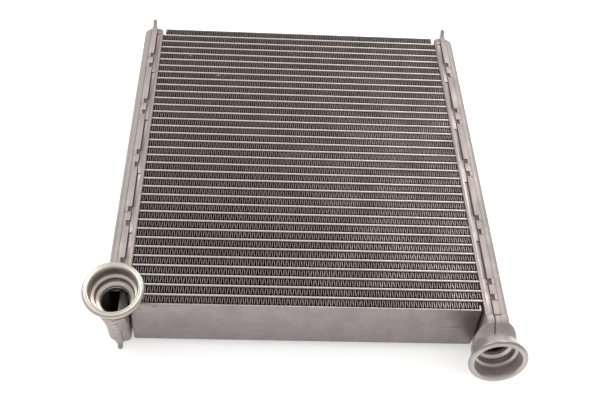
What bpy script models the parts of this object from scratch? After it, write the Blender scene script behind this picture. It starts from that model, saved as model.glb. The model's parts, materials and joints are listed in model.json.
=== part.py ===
"""Heater core: a brazed aluminium matrix of flat tubes and corrugated fins.

The tubes run along X between two header plates. A pressed cover closes each header
plate into a tank that runs along Y. A raised seam band, interrupted by pairs of
clinch notches, runs round each cover. A turned port stands on the near end of the
left tank and another on the near end face of the right tank. The part lies on the
lugs at the lower corners of its tanks, with +Z through the depth of the core.
"""
import math

import bmesh
import bpy
from mathutils import Vector

MM = 0.001

# Tubes and fins
TUBE_COUNT = 35
TUBE_PITCH = 5.3 * MM
TUBE_THICKNESS = 1.3 * MM
TUBE_WIDTH = 26.0 * MM
TUBE_WALL = 0.3 * MM
HEADER_SPAN = 153.0 * MM
FIN_LEGS = 44
FIN_THICKNESS = 0.16 * MM
FIN_RECESS = 0.3 * MM

# Side plates, folded in at both ends
SIDE_PLATE_THICKNESS = 0.8 * MM
SIDE_PLATE_WIDTH = 25.4 * MM
SIDE_PLATE_END_GAP = 1.1 * MM
SIDE_PLATE_LIP = 2.3 * MM
SIDE_PLATE_CORNER = 2.0 * MM

# Tanks
SHEET = 1.2 * MM
TANK_WIDTH = 10.3 * MM
TANK_MARGIN = 0.8 * MM
HEADER_RIM = 3.3 * MM
HEADER_CORNER = 3.0 * MM
HEADER_EDGE_RADIUS = 0.8 * MM
COVER_CORNER = 4.5 * MM
RIGHT_PORT_END_CORNER = 0.9 * MM
COVER_EDGE_RADIUS = 2.2 * MM
LEFT_END_REACH = 1.8 * MM
RIGHT_END_REACH = 4.6 * MM
GROOVE_WIDTH = 1.4 * MM
GROOVE_DEPTH = 0.5 * MM

# Seam band, clinch notches and corner lugs
BAND_WIDTH = 2.8 * MM
BAND_RISE = 0.7 * MM
BAND_CORNER = 1.6 * MM
CLINCH_COUNT = 5
CLINCH_SPACING = 37.65 * MM
CLINCH_FIRST = 30.0 * MM
CLINCH_PAIR_SPACING = 8.6 * MM
LEFT_LAST_CLINCH_SHIFT = 7.2 * MM
NOTCH_LENGTH = 3.4 * MM
NOTCH_DEPTH = 0.85 * MM
LUG_REACH = 3.4 * MM
LUG_THICKNESS = 1.1 * MM
LUG_WIDTH = 2.1 * MM
LUG_ANGLE = math.radians(50.0)

# Turned ports: bore and flange, and the steps between them in radius and depth
BORE_RADIUS = 6.5 * MM
SEAL_STEP = 1.8 * MM
MOUTH_STEP = 1.45 * MM
CUP_WALL = 1.15 * MM
FLANGE_RIM = 2.05 * MM
FLANGE_THICKNESS = 1.6 * MM
FLANGE_CHAMFER = 0.4 * MM
MOUTH_CHAMFER = 0.4 * MM
CUP_FILLET = 0.6 * MM
CUP_TAPER = 1.3 * MM
MOUTH_DEPTH = 6.0 * MM
SEAL_HEIGHT = 1.3 * MM
CUP_FLOOR = 1.2 * MM

# Left port: it stands on a seat on top of the left tank and tips towards the viewer.
# The tank's end swells into a cone under it.
LEFT_PORT_TILT = math.radians(11.0)
LEFT_PORT_HEIGHT = 12.0 * MM
LEFT_PORT_OVERHANG = 2.0 * MM
SEAT_WALL = 2.9 * MM
CONE_LENGTH = 28.0 * MM
CONE_FOOT_MARGIN = 0.1 * MM

# Right port: it stands on a collar drawn out of the right tank's end face and tips up
RIGHT_PORT_TILT = math.radians(7.5)
RIGHT_PORT_STAND_OFF = 19.1 * MM
RIGHT_PORT_DROP = 1.0 * MM
PORT_SHIFT = 0.45 * MM
COLLAR_WALL = 2.7 * MM
COLLAR_FOOT_MARGIN = 0.15 * MM
COLLAR_FLARE = 3.6 * MM
COLLAR_OVERLAP = 0.8 * MM
COLLAR_ROOT = 3.0 * MM
COLLAR_FOOT_DROP = 0.8 * MM
COLLAR_FOOT_POWER = 5.0
COLLAR_WIDTH_START = 0.2

# Fit between brazed pieces, and how finely curves are drawn
BRAZE_GAP = 0.3 * MM
PORT_SEGMENTS = 30
CORNER_STEPS = 5
EDGE_STEPS = 3
LUG_STEPS = 6
FLARE_STEPS = 5

# Places that follow from the sizes above
FIN_SPACE = TUBE_PITCH - TUBE_THICKNESS
CORE_HALF_LENGTH = (TUBE_COUNT - 1) * TUBE_PITCH / 2 + TUBE_THICKNESS / 2 + FIN_SPACE
TANK_HALF_LENGTH = CORE_HALF_LENGTH + SIDE_PLATE_THICKNESS
TANK_HALF_DEPTH = TUBE_WIDTH / 2 + TANK_MARGIN
HEADER_FACE = HEADER_SPAN / 2
HEADER_SEAM = HEADER_FACE + HEADER_RIM
COVER_SEAM = HEADER_SEAM + BRAZE_GAP
TANK_OUTER = HEADER_FACE + TANK_WIDTH
TANK_MIDDLE = HEADER_FACE + TANK_WIDTH / 2
BAND_HALF_DEPTH = TANK_HALF_DEPTH + BAND_RISE
BAND_HALF_LENGTH = TANK_HALF_LENGTH + BAND_RISE
LUG_MIDDLE = COVER_SEAM + BAND_WIDTH / 2
Z_MIDDLE = (BAND_HALF_DEPTH + LUG_REACH * math.sin(LUG_ANGLE)
            + LUG_THICKNESS / 2 * math.cos(LUG_ANGLE))
TANK_TOP = Z_MIDDLE + TANK_HALF_DEPTH
TANK_BOTTOM = Z_MIDDLE - TANK_HALF_DEPTH
TANK_LEAN = math.tan(LEFT_PORT_TILT)
SEAL_RADIUS = BORE_RADIUS + SEAL_STEP
MOUTH_RADIUS = SEAL_RADIUS + MOUTH_STEP
CUP_RADIUS = MOUTH_RADIUS + CUP_WALL
FLANGE_RADIUS = CUP_RADIUS + FLANGE_RIM
SEAL_DEPTH = MOUTH_DEPTH + SEAL_HEIGHT
PORT_LENGTH = SEAL_DEPTH + CUP_FLOOR
COLLAR_RADIUS = BORE_RADIUS + COLLAR_WALL
SEAT_RADIUS = BORE_RADIUS + SEAT_WALL

# The origin lies midway between the right flange's front and the far lugs' tips
FRONT_REACH = (TANK_HALF_LENGTH + RIGHT_PORT_STAND_OFF
               + FLANGE_RADIUS * math.sin(RIGHT_PORT_TILT))
BACK_REACH = (BAND_HALF_LENGTH + LUG_REACH * math.cos(LUG_ANGLE)
              + LUG_THICKNESS / 2 * math.sin(LUG_ANGLE))
CORE_Y = (FRONT_REACH - BACK_REACH) / 2

# The collar starts just inside the outline of the tank's end, and the cone ends there
COLLAR_FOOT_WIDTH = TANK_WIDTH / 2 - COLLAR_FOOT_MARGIN
COLLAR_FOOT_HEIGHT = TANK_HALF_DEPTH - COLLAR_FOOT_DROP
CONE_FOOT_WIDTH = TANK_WIDTH / 2 - CONE_FOOT_MARGIN
CONE_FOOT_REACH = ((LEFT_PORT_HEIGHT + 2 * TANK_HALF_DEPTH) * math.sin(LEFT_PORT_TILT)
                   + (LEFT_END_REACH - LEFT_PORT_OVERHANG) * math.cos(LEFT_PORT_TILT)
                   - CONE_FOOT_MARGIN)

LEFT_AXIS = Vector((0.0, -math.sin(LEFT_PORT_TILT), math.cos(LEFT_PORT_TILT)))
RIGHT_AXIS = Vector((0.0, -math.cos(RIGHT_PORT_TILT), math.sin(RIGHT_PORT_TILT)))
LEFT_FLANGE = Vector((PORT_SHIFT - TANK_MIDDLE, CORE_Y - TANK_HALF_LENGTH - LEFT_PORT_OVERHANG,
                      TANK_TOP + LEFT_PORT_HEIGHT))
RIGHT_FLANGE = Vector((PORT_SHIFT + TANK_MIDDLE, CORE_Y - TANK_HALF_LENGTH - RIGHT_PORT_STAND_OFF,
                       Z_MIDDLE - RIGHT_PORT_DROP
                       + RIGHT_PORT_STAND_OFF * math.tan(RIGHT_PORT_TILT)))

# Colours and finishes: base colour, roughness, metallic
FINISHES = {
    "tube": ((0.62, 0.60, 0.58), 0.45, 0.9),
    "fin": ((0.50, 0.48, 0.46), 0.50, 0.9),
    "plate": ((0.42, 0.39, 0.38), 0.50, 0.8),
    "tank": ((0.60, 0.56, 0.55), 0.45, 0.9),
    "port": ((0.78, 0.75, 0.70), 0.28, 1.0),
}


def clear_scene():
    for obj in list(bpy.data.objects):
        bpy.data.objects.remove(obj, do_unlink=True)


def material(name, finish):
    colour, roughness, metallic = FINISHES[finish]
    made = bpy.data.materials.new(name)
    made.use_nodes = True
    shader = made.node_tree.nodes["Principled BSDF"]
    shader.inputs["Base Color"].default_value = (*colour, 1.0)
    shader.inputs["Roughness"].default_value = roughness
    shader.inputs["Metallic"].default_value = metallic
    return made


def add_object(name, bm, finish=None):
    """Put a bmesh in the scene as a named object with outward normals."""
    bmesh.ops.recalc_face_normals(bm, faces=bm.faces[:])
    mesh = bpy.data.meshes.new(name)
    bm.to_mesh(mesh)
    bm.free()
    obj = bpy.data.objects.new(name, mesh)
    bpy.context.scene.collection.objects.link(obj)
    if finish:
        mesh.materials.append(material(name, finish))
    return obj


def smooth(obj):
    """Shade round faces smooth and keep edges sharper than 30 degrees."""
    obj.data.shade_smooth()
    obj.data.set_sharp_from_angle(angle=math.radians(30.0))


def combine(target, tool, operation):
    """Join or cut the target with a tool object, which then stays out of the model."""
    modifier = target.modifiers.new(tool.name, 'BOOLEAN')
    modifier.operation = operation
    modifier.solver = 'EXACT'
    modifier.object = tool
    tool.hide_render = True
    tool.display_type = 'WIRE'


def loft(bm, loops):
    """Skin a row of closed loops with the same number of points and cap both ends."""
    rings = [[bm.verts.new(point) for point in loop] for loop in loops]
    count = len(rings[0])
    for lower, upper in zip(rings, rings[1:]):
        for i in range(count):
            j = (i + 1) % count
            bm.faces.new((lower[i], lower[j], upper[j], upper[i]))
    bm.faces.new(rings[0])
    bm.faces.new(rings[-1])


def box(bm, low, high):
    corners = [(low[0], low[1]), (high[0], low[1]), (high[0], high[1]), (low[0], high[1])]
    loft(bm, [[(x, y, z) for x, y in corners] for z in (low[2], high[2])])


def arc(centre, radius, start, end, steps):
    """Points on an arc in a plane, from one angle to another."""
    angles = [start + (end - start) * i / steps for i in range(steps + 1)]
    return [(centre[0] + radius * math.cos(a), centre[1] + radius * math.sin(a))
            for a in angles]


def revolve(bm, profile, centre, axis):
    """Turn a closed profile of (radius, depth) points about an axis; depth runs inward."""
    side = axis.orthogonal().normalized()
    other = axis.cross(side)
    rings = []
    for radius, depth in profile:
        middle = centre - axis * depth
        ring = []
        for i in range(PORT_SEGMENTS):
            angle = 2 * math.pi * i / PORT_SEGMENTS
            ring.append(bm.verts.new(middle + side * radius * math.cos(angle)
                                     + other * radius * math.sin(angle)))
        rings.append(ring)
    for a in range(len(rings)):
        b = (a + 1) % len(rings)
        for i in range(PORT_SEGMENTS):
            j = (i + 1) % PORT_SEGMENTS
            bm.faces.new((rings[a][i], rings[a][j], rings[b][j], rings[b][i]))


def turned_solid(bm, profile, centre, axis):
    """Turn an open profile of (radius, depth) points and cap both ends."""
    side = axis.orthogonal().normalized()
    other = axis.cross(side)
    angles = [2 * math.pi * i / PORT_SEGMENTS for i in range(PORT_SEGMENTS)]
    loft(bm, [[centre - axis * depth + side * radius * math.cos(a)
               + other * radius * math.sin(a) for a in angles]
              for radius, depth in profile])


def tank_outline(seam, wall, near, far, near_corner, corner, height):
    """Plan outline of a tank half at one height: straight at the seam, round elsewhere."""
    way = 1.0 if wall > seam else -1.0
    quarter = math.pi / 2
    near_arc = arc((wall - way * near_corner, near + near_corner), near_corner,
                   -quarter, 0.0 if way > 0 else -2 * quarter, CORNER_STEPS)
    far_arc = arc((wall - way * corner, far - corner), corner,
                  0.0 if way > 0 else 2 * quarter, quarter, CORNER_STEPS)
    points = [(seam, near)] + near_arc + far_arc + [(seam, far)]
    return [(x, y, height) for x, y in points]


def edge_inset(radius, drop):
    """How far a rounded edge stands back at some depth below the face."""
    if drop >= radius:
        return 0.0
    return radius - math.sqrt(radius ** 2 - (radius - drop) ** 2)


def near_end(side, height):
    """How far a tank reaches past the near side plate, at a height from the middle."""
    if side > 0:
        return RIGHT_END_REACH
    return LEFT_END_REACH + TANK_LEAN * (height + TANK_HALF_DEPTH)


def tank_half(bm, side, seam, wall, shrink, near_corner, corner, edge):
    """A solid tank half with rounded corners and edges; the left one leans out at its end.

    The edge along the wall has its own radius; both ends have the cover's.
    """
    half_depth = TANK_HALF_DEPTH - shrink
    way = 1.0 if wall > seam else -1.0
    drops = [COVER_EDGE_RADIUS * (1 - math.cos(math.pi / 2 * i / EDGE_STEPS))
             for i in range(EDGE_STEPS + 1)]
    levels = [(drop - half_depth, drop) for drop in drops]
    levels += [(half_depth - drop, drop) for drop in reversed(drops)]
    loops = []
    for z, drop in levels:
        end_inset = shrink + edge_inset(COVER_EDGE_RADIUS, drop)
        wall_inset = shrink + edge_inset(edge, drop)
        near = CORE_Y - TANK_HALF_LENGTH - near_end(side, z) + end_inset
        far = CORE_Y + TANK_HALF_LENGTH - end_inset
        loops.append(tank_outline(side * seam, side * (wall - way * wall_inset), near, far,
                                  max(near_corner - end_inset, HEADER_EDGE_RADIUS / 4),
                                  max(corner - end_inset, HEADER_EDGE_RADIUS / 2),
                                  Z_MIDDLE + z))
    loft(bm, loops)


def band_outline(side):
    """Outline of the seam band in the Y and Z plane, just proud of the tank."""
    quarter = math.pi / 2
    points = []
    for way_y, way_z, start in ((1, 1, 0), (-1, 1, 1), (-1, -1, 2), (1, -1, 3)):
        centre = (way_y * (BAND_HALF_LENGTH - BAND_CORNER),
                  way_z * (BAND_HALF_DEPTH - BAND_CORNER))
        points += arc(centre, BAND_CORNER, start * quarter, (start + 1) * quarter, EDGE_STEPS)
    return [(y - (near_end(side, z) if y < 0 else 0.0), z) for y, z in points]


def seam_band(bm, side):
    """The solid block whose rim stays as the seam band once the tank is hollowed."""
    loops = []
    for x in (COVER_SEAM, COVER_SEAM + BAND_WIDTH):
        loops.append([(side * x, CORE_Y + y, Z_MIDDLE + z) for y, z in band_outline(side)])
    loft(bm, loops)


def corner_lug(bm, side, way_y, way_z):
    """A round-ended lug that leans out of one corner of the seam band."""
    along = Vector((0.0, way_y * math.cos(LUG_ANGLE), way_z * math.sin(LUG_ANGLE)))
    across = Vector((0.0, -along.z, along.y))
    root_depth = BAND_CORNER
    corner = Vector((side * LUG_MIDDLE, CORE_Y + way_y * BAND_HALF_LENGTH,
                     Z_MIDDLE + way_z * BAND_HALF_DEPTH))
    half = LUG_WIDTH / 2
    tip = arc((0.0, LUG_REACH - half), half, 0.0, math.pi, LUG_STEPS)
    outline = [(half, -root_depth)] + tip + [(-half, -root_depth)]
    loops = []
    for offset in (-LUG_THICKNESS / 2, LUG_THICKNESS / 2):
        loops.append([corner + Vector((x, 0.0, 0.0)) + along * reach + across * offset
                      for x, reach in outline])
    loft(bm, loops)


def clinch_places(side):
    """Y of each clinch pair, counted from the far end of the tank."""
    places = [CORE_Y + TANK_HALF_LENGTH - CLINCH_FIRST - CLINCH_SPACING * i
              for i in range(CLINCH_COUNT)]
    if side < 0:
        places[-1] += LEFT_LAST_CLINCH_SHIFT
    return places


def clinch_notches(bm, side):
    """Short gaps in the band, two to a clinch, on the upper and the lower face."""
    low_x = COVER_SEAM - BRAZE_GAP
    high_x = COVER_SEAM + BAND_WIDTH + BRAZE_GAP
    for place in clinch_places(side):
        for offset in (-CLINCH_PAIR_SPACING / 2, CLINCH_PAIR_SPACING / 2):
            for way_z in (-1, 1):
                heights = sorted((Z_MIDDLE + way_z * (BAND_HALF_DEPTH - NOTCH_DEPTH),
                                  Z_MIDDLE + way_z * (BAND_HALF_DEPTH + BAND_RISE)))
                xs = sorted((side * low_x, side * high_x))
                box(bm, (xs[0], place + offset - NOTCH_LENGTH / 2, heights[0]),
                    (xs[1], place + offset + NOTCH_LENGTH / 2, heights[1]))


def groove_spans(side):
    """Start and end of each groove beside the band, which stops short of the clinches."""
    clear = CLINCH_PAIR_SPACING / 2 + NOTCH_LENGTH / 2
    ends = [CORE_Y + TANK_HALF_LENGTH - HEADER_CORNER * 2]
    for place in clinch_places(side):
        ends += [place + clear, place - clear - NOTCH_LENGTH]
    return [(ends[i + 1], ends[i]) for i in range(0, len(ends) - 1, 2)]


def header_grooves(bm, side):
    """Shallow grooves in the header rim, cut from above and below."""
    xs = sorted((side * (HEADER_SEAM - GROOVE_WIDTH), side * (HEADER_SEAM + BRAZE_GAP)))
    for start, end in groove_spans(side):
        for way_z in (-1, 1):
            heights = sorted((Z_MIDDLE + way_z * (TANK_HALF_DEPTH - GROOVE_DEPTH),
                              Z_MIDDLE + way_z * (TANK_HALF_DEPTH + GROOVE_DEPTH)))
            box(bm, (xs[0], start, heights[0]), (xs[1], end, heights[1]))


def ring_points(middle, half_width, half_height, axis, power=2.0):
    """Points round an axis, with the width along X: an oval, or squarer as power grows."""
    width = Vector((1.0, 0.0, 0.0))
    height = axis.cross(width)
    points = []
    for i in range(PORT_SEGMENTS):
        angle = 2 * math.pi * i / PORT_SEGMENTS
        across = math.copysign(abs(math.cos(angle)) ** (2 / power), math.cos(angle))
        upward = math.copysign(abs(math.sin(angle)) ** (2 / power), math.sin(angle))
        points.append(middle + width * half_width * across + height * half_height * upward)
    return points


def smooth_step(t):
    return t * t * (3 - 2 * t)


def collar(bm, shrink, radius, start, end):
    """A body or passage that goes from a round port to the outline of the tank's end."""
    flare_start = RIGHT_PORT_STAND_OFF - RIGHT_END_REACH + COLLAR_OVERLAP - COLLAR_FLARE
    stages = [(start, 0.0)]
    stages += [(flare_start + COLLAR_FLARE * i / FLARE_STEPS, i / FLARE_STEPS)
               for i in range(FLARE_STEPS + 1)]
    stages.append((end, 1.0))
    loops = []
    for reach, t in stages:
        tall = smooth_step(t)
        slim = smooth_step(min(1.0, t / (1.0 - COLLAR_WIDTH_START)))
        shift = Vector((-PORT_SHIFT * slim, 0.0, 0.0))
        loops.append(ring_points(
            RIGHT_FLANGE - RIGHT_AXIS * reach + shift,
            radius + (COLLAR_FOOT_WIDTH - shrink - radius) * slim,
            radius + (COLLAR_FOOT_HEIGHT - shrink - radius) * tall,
            RIGHT_AXIS, 2.0 + (COLLAR_FOOT_POWER - 2.0) * tall))
    loft(bm, loops)


def end_collar(bm):
    """The round collar that the right tank's end is drawn out into."""
    root = RIGHT_PORT_STAND_OFF - RIGHT_END_REACH + COLLAR_ROOT
    collar(bm, 0.0, COLLAR_RADIUS, PORT_LENGTH + BRAZE_GAP, root)


def end_passage(bm):
    """The passage through the collar into the right tank."""
    root = RIGHT_PORT_STAND_OFF - RIGHT_END_REACH + COLLAR_ROOT
    collar(bm, SHEET, BORE_RADIUS, PORT_LENGTH - BRAZE_GAP, root + SHEET)


def port_cone(bm, shrink):
    """The cone that the left tank's end swells into, flowing into the tank at its foot."""
    seat = LEFT_PORT_HEIGHT / math.cos(LEFT_PORT_TILT)
    stages = [(PORT_LENGTH + BRAZE_GAP, 0.0)]
    stages += [(seat + CONE_LENGTH * i / FLARE_STEPS, i / FLARE_STEPS)
               for i in range(FLARE_STEPS + 1)]
    loops = []
    for reach, t in stages:
        blend = math.sin(math.pi / 2 * t)
        middle = LEFT_FLANGE - LEFT_AXIS * reach - Vector((PORT_SHIFT * blend, 0.0, 0.0))
        loops.append(ring_points(
            middle,
            SEAT_RADIUS + (CONE_FOOT_WIDTH - SEAT_RADIUS) * blend - shrink,
            SEAT_RADIUS + (CONE_FOOT_REACH - SEAT_RADIUS) * blend - shrink,
            LEFT_AXIS))
    loft(bm, loops)


def top_passage(bm):
    """The passage from the left port down through the top of the left tank."""
    turned_solid(bm, [(BORE_RADIUS, PORT_LENGTH - BRAZE_GAP),
                      (BORE_RADIUS, LEFT_PORT_HEIGHT / math.cos(LEFT_PORT_TILT) + 2 * SHEET)],
                 LEFT_FLANGE, LEFT_AXIS)


def clip_box(bm, low_x, high_x, low_z, high_z):
    """A box between two planes in X and two in Z that takes in the ported end."""
    box(bm, (low_x, CORE_Y - 2 * TANK_HALF_LENGTH, low_z), (high_x, CORE_Y, high_z))


def clipped(name, builder, limits, *details):
    """A tool shape, kept only where it lies inside a clip box."""
    tool = tool_object(name, builder, *details)
    combine(tool, tool_object(name + "_clip", clip_box, *limits), 'INTERSECT')
    return tool


def cone_part(name, near_x, far_x, shrink):
    """The part of the cone between two planes, just clear of the tank's floor."""
    limits = (near_x, far_x, TANK_BOTTOM + shrink + BRAZE_GAP / 2, TANK_TOP - shrink)
    return clipped(name, port_cone, limits, shrink)


def collar_part(name, builder, near_x, far_x):
    return clipped(name, builder, (near_x, far_x, Z_MIDDLE - TANK_HALF_DEPTH,
                                   Z_MIDDLE + TANK_HALF_DEPTH))


def tool_object(name, builder, *details):
    bm = bmesh.new()
    builder(bm, *details)
    return add_object(name, bm)


def flat_tube(bm, y, half_thickness, half_width, half_length):
    """A flat tube or its bore, as a prism along X with pointed, round-looking edges."""
    shoulder = half_width - half_thickness
    section = [(half_thickness, -shoulder), (half_thickness, shoulder), (0.0, half_width),
               (-half_thickness, shoulder), (-half_thickness, -shoulder), (0.0, -half_width)]
    loft(bm, [[(x, y + dy, Z_MIDDLE + dz) for dy, dz in section]
              for x in (-half_length, half_length)])


def tube_places():
    return [CORE_Y + (i - (TUBE_COUNT - 1) / 2) * TUBE_PITCH for i in range(TUBE_COUNT)]


def header_solids(bm):
    for side in (-1, 1):
        tank_half(bm, side, HEADER_SEAM, HEADER_FACE, 0.0,
                  HEADER_CORNER, HEADER_CORNER, HEADER_EDGE_RADIUS)


def header_hollows(bm):
    for side in (-1, 1):
        tank_half(bm, side, HEADER_SEAM + SHEET, HEADER_FACE, SHEET,
                  HEADER_CORNER, HEADER_CORNER, HEADER_EDGE_RADIUS)


def tubes(bm):
    for y in tube_places():
        flat_tube(bm, y, TUBE_THICKNESS / 2, TUBE_WIDTH / 2, HEADER_FACE + SHEET / 2)


def tube_bores(bm):
    for y in tube_places():
        flat_tube(bm, y, TUBE_THICKNESS / 2 - TUBE_WALL, TUBE_WIDTH / 2 - 2 * TUBE_WALL,
                  HEADER_FACE + 2 * SHEET)


def build_tube_bank():
    """Both header plates with every tube brazed into them, as one solid."""
    outer = TANK_OUTER + 2 * SEAT_RADIUS
    web = HEADER_FACE + SHEET
    bank = tool_object("tube_bank", header_solids)
    bank.data.materials.append(material("tube_bank", "tube"))
    combine(bank, cone_part("header_cone_join", -HEADER_SEAM, -HEADER_FACE, 0.0), 'UNION')
    combine(bank, collar_part("header_collar_join", end_collar, -outer, HEADER_SEAM), 'UNION')
    combine(bank, tool_object("header_hollow_cut", header_hollows), 'DIFFERENCE')
    combine(bank, cone_part("header_cone_cut", -outer, -web, SHEET), 'DIFFERENCE')
    combine(bank, tool_object("header_passage_cut", end_passage), 'DIFFERENCE')
    combine(bank, tool_object("tube_join", tubes), 'UNION')
    combine(bank, tool_object("tube_bore_cut", tube_bores), 'DIFFERENCE')
    for side, label in ((-1, "left"), (1, "right")):
        combine(bank, tool_object("header_groove_cut_" + label, header_grooves, side),
                'DIFFERENCE')


def fin_strip(bm, y, half_length):
    """One corrugated strip that fills the space between two tubes."""
    leg = 2 * half_length / FIN_LEGS
    height = FIN_SPACE - 2 * BRAZE_GAP
    slant = math.hypot(leg, height) / leg
    rise = FIN_THICKNESS * slant / 2
    crest = height / 2 - rise
    half_depth = TUBE_WIDTH / 2 - FIN_RECESS
    rings = []
    for i in range(FIN_LEGS + 1):
        x = -half_length + leg * i
        middle = y + (crest if i % 2 else -crest)
        rings.append([bm.verts.new((x, middle + dy, Z_MIDDLE + dz))
                      for dy, dz in ((-rise, -half_depth), (rise, -half_depth),
                                     (rise, half_depth), (-rise, half_depth))])
    for a, b in zip(rings, rings[1:]):
        for i in range(4):
            j = (i + 1) % 4
            bm.faces.new((a[i], a[j], b[j], b[i]))
    bm.faces.new(rings[0])
    bm.faces.new(rings[-1])


def build_fins():
    full = HEADER_FACE - BRAZE_GAP
    beside_lip = HEADER_FACE - SIDE_PLATE_END_GAP - SIDE_PLATE_THICKNESS - BRAZE_GAP
    rows = TUBE_COUNT + 1
    for i in range(rows):
        y = CORE_Y + (i - (rows - 1) / 2) * TUBE_PITCH
        bm = bmesh.new()
        fin_strip(bm, y, beside_lip if i in (0, rows - 1) else full)
        add_object("fin_row_%02d" % (i + 1), bm, "fin")


def side_plate(bm, way):
    """A flat plate with clipped corners whose two ends fold in over the last fin row."""
    half = HEADER_FACE - SIDE_PLATE_END_GAP
    inner = CORE_HALF_LENGTH
    outer = inner + SIDE_PLATE_THICKNESS
    tip = inner - SIDE_PLATE_LIP
    outline = [(-half, outer), (half, outer), (half, tip), (half - SIDE_PLATE_THICKNESS, tip),
               (half - SIDE_PLATE_THICKNESS, inner), (-half + SIDE_PLATE_THICKNESS, inner),
               (-half + SIDE_PLATE_THICKNESS, tip), (-half, tip)]
    loft(bm, [[(x, CORE_Y + way * y, Z_MIDDLE + z) for x, y in outline]
              for z in (-SIDE_PLATE_WIDTH / 2, SIDE_PLATE_WIDTH / 2)])


def side_plate_corners(bm, way):
    """Wedges that clip the lower corners of a side plate."""
    half = HEADER_FACE - SIDE_PLATE_END_GAP
    reach = SIDE_PLATE_CORNER
    low = Z_MIDDLE - SIDE_PLATE_WIDTH / 2
    ys = (CORE_Y + way * (CORE_HALF_LENGTH - 2 * SIDE_PLATE_LIP),
          CORE_Y + way * (CORE_HALF_LENGTH + 2 * SIDE_PLATE_THICKNESS))
    for side in (-1, 1):
        wedge = [(side * (half - reach), low - reach), (side * (half + reach), low - reach),
                 (side * (half + reach), low + 2 * reach)]
        loft(bm, [[(x, y, z) for x, z in wedge] for y in ys])


def build_side_plates():
    for way, name in ((-1, "side_plate_near"), (1, "side_plate_far")):
        plate = tool_object(name, side_plate, way)
        plate.data.materials.append(material(name, "plate"))
        combine(plate, tool_object(name + "_corner_cut", side_plate_corners, way),
                'DIFFERENCE')


def near_cover_corner(side):
    """The right cover stays square at its near end, where the collar takes over."""
    return COVER_CORNER if side < 0 else RIGHT_PORT_END_CORNER


def cover_solid(bm, side):
    tank_half(bm, side, COVER_SEAM, TANK_OUTER, 0.0,
              near_cover_corner(side), COVER_CORNER, COVER_EDGE_RADIUS)


def cover_hollow(bm, side):
    tank_half(bm, side, COVER_SEAM - SHEET, TANK_OUTER, SHEET,
              near_cover_corner(side), COVER_CORNER, COVER_EDGE_RADIUS)


def lugs(bm, side):
    for way_y, way_z in ((1, 1), (1, -1), (-1, -1)):
        corner_lug(bm, side, way_y, way_z)


def build_cover(side, label):
    name = "tank_cover_" + label
    outer = TANK_OUTER + 2 * SEAT_RADIUS
    cover = tool_object(name, cover_solid, side)
    cover.data.materials.append(material(name, "tank"))
    combine(cover, tool_object(name + "_band_join", seam_band, side), 'UNION')
    combine(cover, tool_object(name + "_lug_join", lugs, side), 'UNION')
    if side < 0:
        combine(cover, cone_part(name + "_cone_join", -outer, -COVER_SEAM, 0.0), 'UNION')
    else:
        combine(cover, collar_part(name + "_collar_join", end_collar, COVER_SEAM, outer),
                'UNION')
    combine(cover, tool_object(name + "_hollow_cut", cover_hollow, side), 'DIFFERENCE')
    combine(cover, tool_object(name + "_notch_cut", clinch_notches, side), 'DIFFERENCE')
    if side < 0:
        combine(cover, cone_part(name + "_cone_cut", -outer, 0.0, SHEET), 'DIFFERENCE')
        combine(cover, clipped(name + "_seat_cut", seat_clearance, above_tank(BRAZE_GAP / 10)),
                'DIFFERENCE')
        combine(cover, tool_object(name + "_passage_cut", top_passage), 'DIFFERENCE')
    else:
        combine(cover, tool_object(name + "_passage_cut", end_passage), 'DIFFERENCE')


def above_tank(gap):
    """Clip limits that take in what stands over the left tank."""
    return (-TANK_OUTER - 2 * SEAT_RADIUS, 0.0, TANK_TOP + gap, TANK_TOP + LEFT_PORT_HEIGHT)


def seat_clearance(bm):
    """Room for the left port's seat, where the seam band would run under it."""
    turned_solid(bm, [(SEAT_RADIUS + BRAZE_GAP, 0.0),
                      (SEAT_RADIUS + BRAZE_GAP, LEFT_PORT_HEIGHT + 2 * SEAT_RADIUS)],
                 LEFT_FLANGE, LEFT_AXIS)


def left_seat(bm):
    """The ring that carries the left port, before its foot is cut level."""
    seat = (LEFT_PORT_HEIGHT + SEAT_RADIUS) / math.cos(LEFT_PORT_TILT)
    turned_solid(bm, [(SEAT_RADIUS, PORT_LENGTH + BRAZE_GAP), (SEAT_RADIUS, seat)],
                 LEFT_FLANGE, LEFT_AXIS)


def build_left_seat():
    """A ring with a level foot and a tilted top, between the left tank and its port."""
    seat = clipped("port_seat_left", left_seat, above_tank(BRAZE_GAP))
    seat.data.materials.append(material("port_seat_left", "tank"))
    combine(seat, tool_object("seat_passage_cut", top_passage), 'DIFFERENCE')
    smooth(seat)


def port_profile():
    """Section of a turned port: flange, cup and stepped bore, as (radius, depth)."""
    return [
        (MOUTH_RADIUS + MOUTH_CHAMFER, 0.0),
        (FLANGE_RADIUS - FLANGE_CHAMFER, 0.0),
        (FLANGE_RADIUS, FLANGE_CHAMFER),
        (FLANGE_RADIUS, FLANGE_THICKNESS),
        (CUP_RADIUS + CUP_FILLET, FLANGE_THICKNESS),
        (CUP_RADIUS, FLANGE_THICKNESS + CUP_FILLET),
        (CUP_RADIUS, PORT_LENGTH - CUP_TAPER),
        (COLLAR_RADIUS, PORT_LENGTH),
        (BORE_RADIUS, PORT_LENGTH),
        (BORE_RADIUS, SEAL_DEPTH),
        (SEAL_RADIUS, SEAL_DEPTH),
        (SEAL_RADIUS, MOUTH_DEPTH),
        (MOUTH_RADIUS, MOUTH_DEPTH),
        (MOUTH_RADIUS, MOUTH_CHAMFER),
    ]


def build_ports():
    for name, centre, axis in (("port_left", LEFT_FLANGE, LEFT_AXIS),
                               ("port_right", RIGHT_FLANGE, RIGHT_AXIS)):
        bm = bmesh.new()
        revolve(bm, port_profile(), centre, axis)
        smooth(add_object(name, bm, "port"))


def build():
    clear_scene()
    build_tube_bank()
    build_fins()
    build_side_plates()
    build_cover(-1, "left")
    build_cover(1, "right")
    build_left_seat()
    build_ports()


build()
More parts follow.
